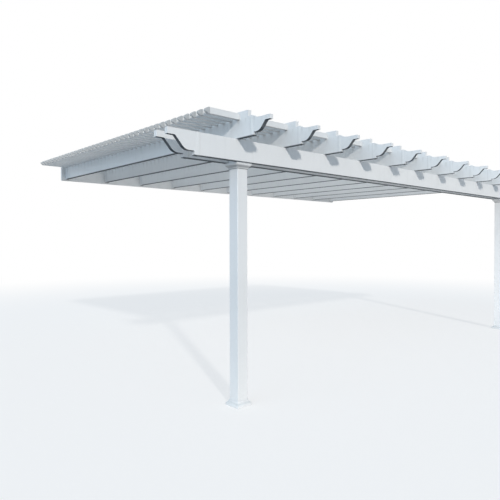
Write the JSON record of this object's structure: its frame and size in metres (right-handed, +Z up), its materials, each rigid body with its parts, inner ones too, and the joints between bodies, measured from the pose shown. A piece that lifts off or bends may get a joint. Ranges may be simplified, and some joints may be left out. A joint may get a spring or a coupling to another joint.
{
  "type": "wall-attached pergola",
  "caption": "White wall-attached pergola with moulded beam and rafter tails, routed rafters with shade slats, square posts with flared base and head mouldings, and a wall ledger.",
  "frame": {"origin": "centre of the left post's foot, on the ground", "axes": "+X along the front beam to the right post, +Y from the posts to the wall, +Z up"},
  "size_m": [8.316, 4.684, 2.917],
  "materials": {
    "post_vinyl": "satin",
    "trim_vinyl": "satin",
    "beam_vinyl": "satin",
    "rafter_vinyl": "satin",
    "slat_vinyl": "satin",
    "ledger_vinyl": "satin",
    "hanger_metal": "satin"
  },
  "bodies": {
    "root": {"post_left": "post_vinyl", "post_right": "post_vinyl", "post_base_left": "trim_vinyl", "post_base_right": "trim_vinyl", "post_capital_left": "trim_vinyl", "post_capital_right": "trim_vinyl", "beam_front": "beam_vinyl", "beam_back": "beam_vinyl", "beam_tail_front_left": "beam_vinyl", "beam_tail_front_right": "beam_vinyl", "beam_tail_back_left": "beam_vinyl", "beam_tail_back_right": "beam_vinyl", "rafter_01": "rafter_vinyl", "rafter_02": "rafter_vinyl", "rafter_03": "rafter_vinyl", "rafter_04": "rafter_vinyl", "rafter_05": "rafter_vinyl", "rafter_06": "rafter_vinyl", "rafter_07": "rafter_vinyl", "rafter_08": "rafter_vinyl", "rafter_09": "rafter_vinyl", "rafter_10": "rafter_vinyl", "rafter_11": "rafter_vinyl", "rafter_tail_01": "rafter_vinyl", "rafter_tail_02": "rafter_vinyl", "rafter_tail_03": "rafter_vinyl", "rafter_tail_04": "rafter_vinyl", "rafter_tail_05": "rafter_vinyl", "rafter_tail_06": "rafter_vinyl", "rafter_tail_07": "rafter_vinyl", "rafter_tail_08": "rafter_vinyl", "rafter_tail_09": "rafter_vinyl", "rafter_tail_10": "rafter_vinyl", "rafter_tail_11": "rafter_vinyl", "shade_slats_1": "slat_vinyl", "shade_slats_2": "slat_vinyl", "shade_slats_3": "slat_vinyl", "shade_slats_4": "slat_vinyl", "ledger": "ledger_vinyl", "rafter_hangers": "hanger_metal"}
  },
  "joints": []
}
